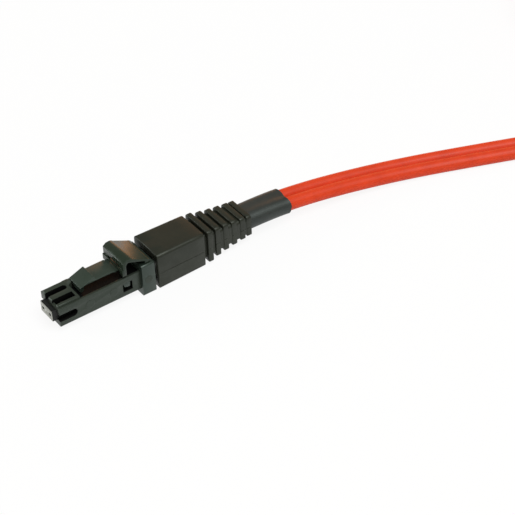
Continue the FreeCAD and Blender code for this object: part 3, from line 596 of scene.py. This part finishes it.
# The rigid pieces keep their CAD form, with rounded edges
BODY_OF = {"latch_arm": "latch", "trigger_lever": "lever", "ferrule": "ferrule"}
SLOT_OF = {"front_housing": "housing", "latch_arm": "housing", "rear_collar": "collar",
           "trigger_lever": "collar", "ferrule": "ferrule"}
EDGE_OF = {"front_housing": 0.1, "latch_arm": 0.1, "rear_collar": 0.12, "trigger_lever": 0.1,
           "ferrule": 0.03}
far_pieces = [far_sleeve, far_boot]
for node, slot in SLOT_OF.items():
    near_piece = softened(node, BODY_OF.get(node, "cable"), slot, EDGE_OF[node])
    far_body = "far_" + BODY_OF[node] if node in BODY_OF else "cable"
    far_pieces.append(softened("far_" + node, far_body, slot, EDGE_OF[node]))
    if node == "ferrule":
        ferrules = (near_piece, far_pieces[-1])
    if node == "front_housing":
        housings = (near_piece, far_pieces[-1])
    if node in ("latch_arm", "trigger_lever"):
        for piece in (near_piece, far_pieces[-1]):
            piece.data.materials[0] = MATERIALS[node]

# The hidden pieces are shown as they come from the CAD, with their materials
HIDDEN = {"ferrule_insert": "rubber_insert", "spacer": "spacer", "ferrule_spring": "spring_wire",
          "crimp_body": "crimp_body", "crimp_sleeve": "crimp_sleeve", "fibre_pair": "fibre"}
for node, slot in HIDDEN.items():
    nodes[node].data.materials.clear()
    nodes[node].data.materials.append(MATERIALS[slot])

tie = softened("coil_tie", "cable", "tie", 0.15)


def polish_and_paint_glare_on_front(obj, place):
    """The ferrule's flat front face takes a smoother, light grey material: the polish is real, and its light
    colour is painted glare on the dark ferrule plastic.
    """
    front = place @ Vector((0, 0, 0))
    toward = place.to_3x3() @ Vector((-1, 0, 0))
    obj.data.materials.append(MATERIALS["ferrule_face"])
    for face in obj.data.polygons:
        if face.normal.dot(toward) > 0.9 and (face.center - front).dot(toward) > -0.02 * MM:
            face.material_index = 1


def paint_shade_in_recesses(obj, place):
    """The faces inside the slots, key channels, windows and latch pocket take a near-black matte material:
    painted shade for these recesses.
    """
    back = place.inverted()
    obj.data.materials.append(MATERIALS["pocket"])
    for face in obj.data.polygons:
        x, y, z = (back @ face.center) / MM
        channel = 1.6 < x < 5.6 and abs(y) < 2.6 and 1.2 < z < 2.6
        cavity = 1.2 < x < 19.4 and abs(y) < 3.35 and -1.6 < z < 1.7
        pocket = x > 6.6 and abs(y) < 3.02 and z > 1.7 and (back.to_3x3() @ face.normal).y * y < 0.01
        if channel or cavity or pocket:
            face.material_index = 1


# Each ferrule's face gets painted glare and each housing's recesses get painted shade.
for ferrule, housing, place in zip(ferrules, housings, (NEAR, FAR)):
    polish_and_paint_glare_on_front(ferrule, place)
    paint_shade_in_recesses(housing, place)


# Each round mark's X, Z and radius, and the half width of the piece that it is on
MARKS = ((7.9, 0.0, 1.02, 3.45), (13.35, 0.1, 0.97, 3.45), (21.05, -0.2, 0.92, 4.15))
MARK_STEPS = 40


def round_marks(name, place):
    """Shallow round marks that the mould leaves on the sides of the housing and the collar."""
    bm = bmesh.new()
    for x, z, r, half in MARKS:
        for side in (-1, 1):
            rows = []
            for radius, proud in ((r, -0.03), (r - 0.01, 0.02), (r - 0.06, 0.04), (r - 0.2, 0.045)):
                ring = []
                for n in range(MARK_STEPS):
                    a = 2 * math.pi * n / MARK_STEPS
                    spot = Vector((x + radius * math.cos(a), side * (half + proud), z + radius * math.sin(a)))
                    ring.append(bm.verts.new(place @ (spot * MM)))
                rows.append(ring)
            for first, second in zip(rows, rows[1:]):
                for n in range(MARK_STEPS):
                    m = (n + 1) % MARK_STEPS
                    bm.faces.new((first[n], first[m], second[m], second[n]))
            bm.faces.new(rows[-1])
            bm.faces.new(rows[0][::-1])
    bmesh.ops.recalc_face_normals(bm, faces=bm.faces)
    mesh = bpy.data.meshes.new(name)
    bm.to_mesh(mesh)
    bm.free()
    smooth_by_angle(mesh, 40)
    return add(name, mesh, "cable", "housing")


round_marks("round_marks", NEAR)
far_pieces.append(round_marks("far_round_marks", FAR))


# Studio: a plain pale floor, soft light and the photograph's camera

FLOOR_HALF = 1.6
FLOOR_WHITE = 0.9


def floor():
    """A pale floor that the camera and mirrored rays see as nearly even white."""
    mesh = bpy.data.meshes.new("floor")
    corners = [(x * FLOOR_HALF, y * FLOOR_HALF, 0) for x, y in ((-1, -1), (1, -1), (1, 1), (-1, 1))]
    mesh.from_pydata(corners, [], [(0, 1, 2, 3)])
    obj = bpy.data.objects.new("floor", mesh)
    collection.objects.link(obj)
    material, tree, shader = new_material("floor_white")
    coords = tree.nodes.new("ShaderNodeTexCoord").outputs["Object"]
    tree.links.new(tones(tree, noise(tree, coords, 3.0), (0.88, 0.88, 0.88), (0.9, 0.9, 0.9)),
                   shader.inputs["Base Color"])
    shader.inputs["Roughness"].default_value = 0.9
    shader.inputs["Specular IOR Level"].default_value = 0.0
    path = tree.nodes.new("ShaderNodeLightPath")
    seen = math_node(tree, "ADD", path.outputs["Is Camera Ray"], path.outputs["Is Glossy Ray"])
    through = math_node(tree, "ADD", seen, path.outputs["Is Transmission Ray"], True)
    share = math_node(tree, "MULTIPLY", through, FLOOR_WHITE)
    white = tree.nodes.new("ShaderNodeEmission")
    mix = tree.nodes.new("ShaderNodeMixShader")
    tree.links.new(share, mix.inputs["Fac"])
    tree.links.new(shader.outputs["BSDF"], mix.inputs[1])
    tree.links.new(white.outputs["Emission"], mix.inputs[2])
    tree.links.new(mix.outputs["Shader"], tree.nodes["Material Output"].inputs["Surface"])
    mesh.materials.append(material)


def area_light(name, place, target, size, energy, colour=(1, 1, 1)):
    """A rectangular lamp that looks at its target."""
    light = bpy.data.lights.new(name, "AREA")
    light.shape = "RECTANGLE"
    light.size, light.size_y = size
    light.energy = energy
    light.color = colour
    obj = bpy.data.objects.new(name, light)
    collection.objects.link(obj)
    obj.location = place
    obj.rotation_euler = (Vector(target) - Vector(place)).to_track_quat("-Z", "Y").to_euler()


floor()
area_light("key", (-0.85, 0.75, 0.42), (0, 0, 0), (0.5, 0.3), 4.5)
area_light("fill", (0.1, -0.6, 1.3), (0, 0, 0), (0.8, 0.8), 15.0)
area_light("warm", (0.6, 0.5, 0.09), (0, 0, 0.01), (0.6, 0.17), 0.8, (1.0, 0.37, 0.09))

world = bpy.data.worlds.new("studio")
bpy.context.scene.world = world
world.use_nodes = True
world.node_tree.nodes["Background"].inputs["Color"].default_value = (1.0, 0.98, 0.88, 1)
world.node_tree.nodes["Background"].inputs["Strength"].default_value = 0.38

# The photograph's camera: its right, up and backward directions, and its place
camera_data = bpy.data.cameras.new("camera")
camera_data.sensor_width = 36.0
camera_data.lens = 118.18
camera_data.clip_start = 0.01
camera = bpy.data.objects.new("camera", camera_data)
collection.objects.link(camera)
right, up, back = (0.8092, -0.5866, -0.0338), (0.3946, 0.5, 0.7709), (-0.4353, -0.6372, 0.636)
placed = Matrix((right, up, back)).transposed().to_4x4()
placed.translation = Vector((-0.12934, -0.22814, 0.21943))
camera.matrix_world = placed
bpy.context.scene.camera = camera
bpy.context.scene.view_settings.view_transform = "Standard"
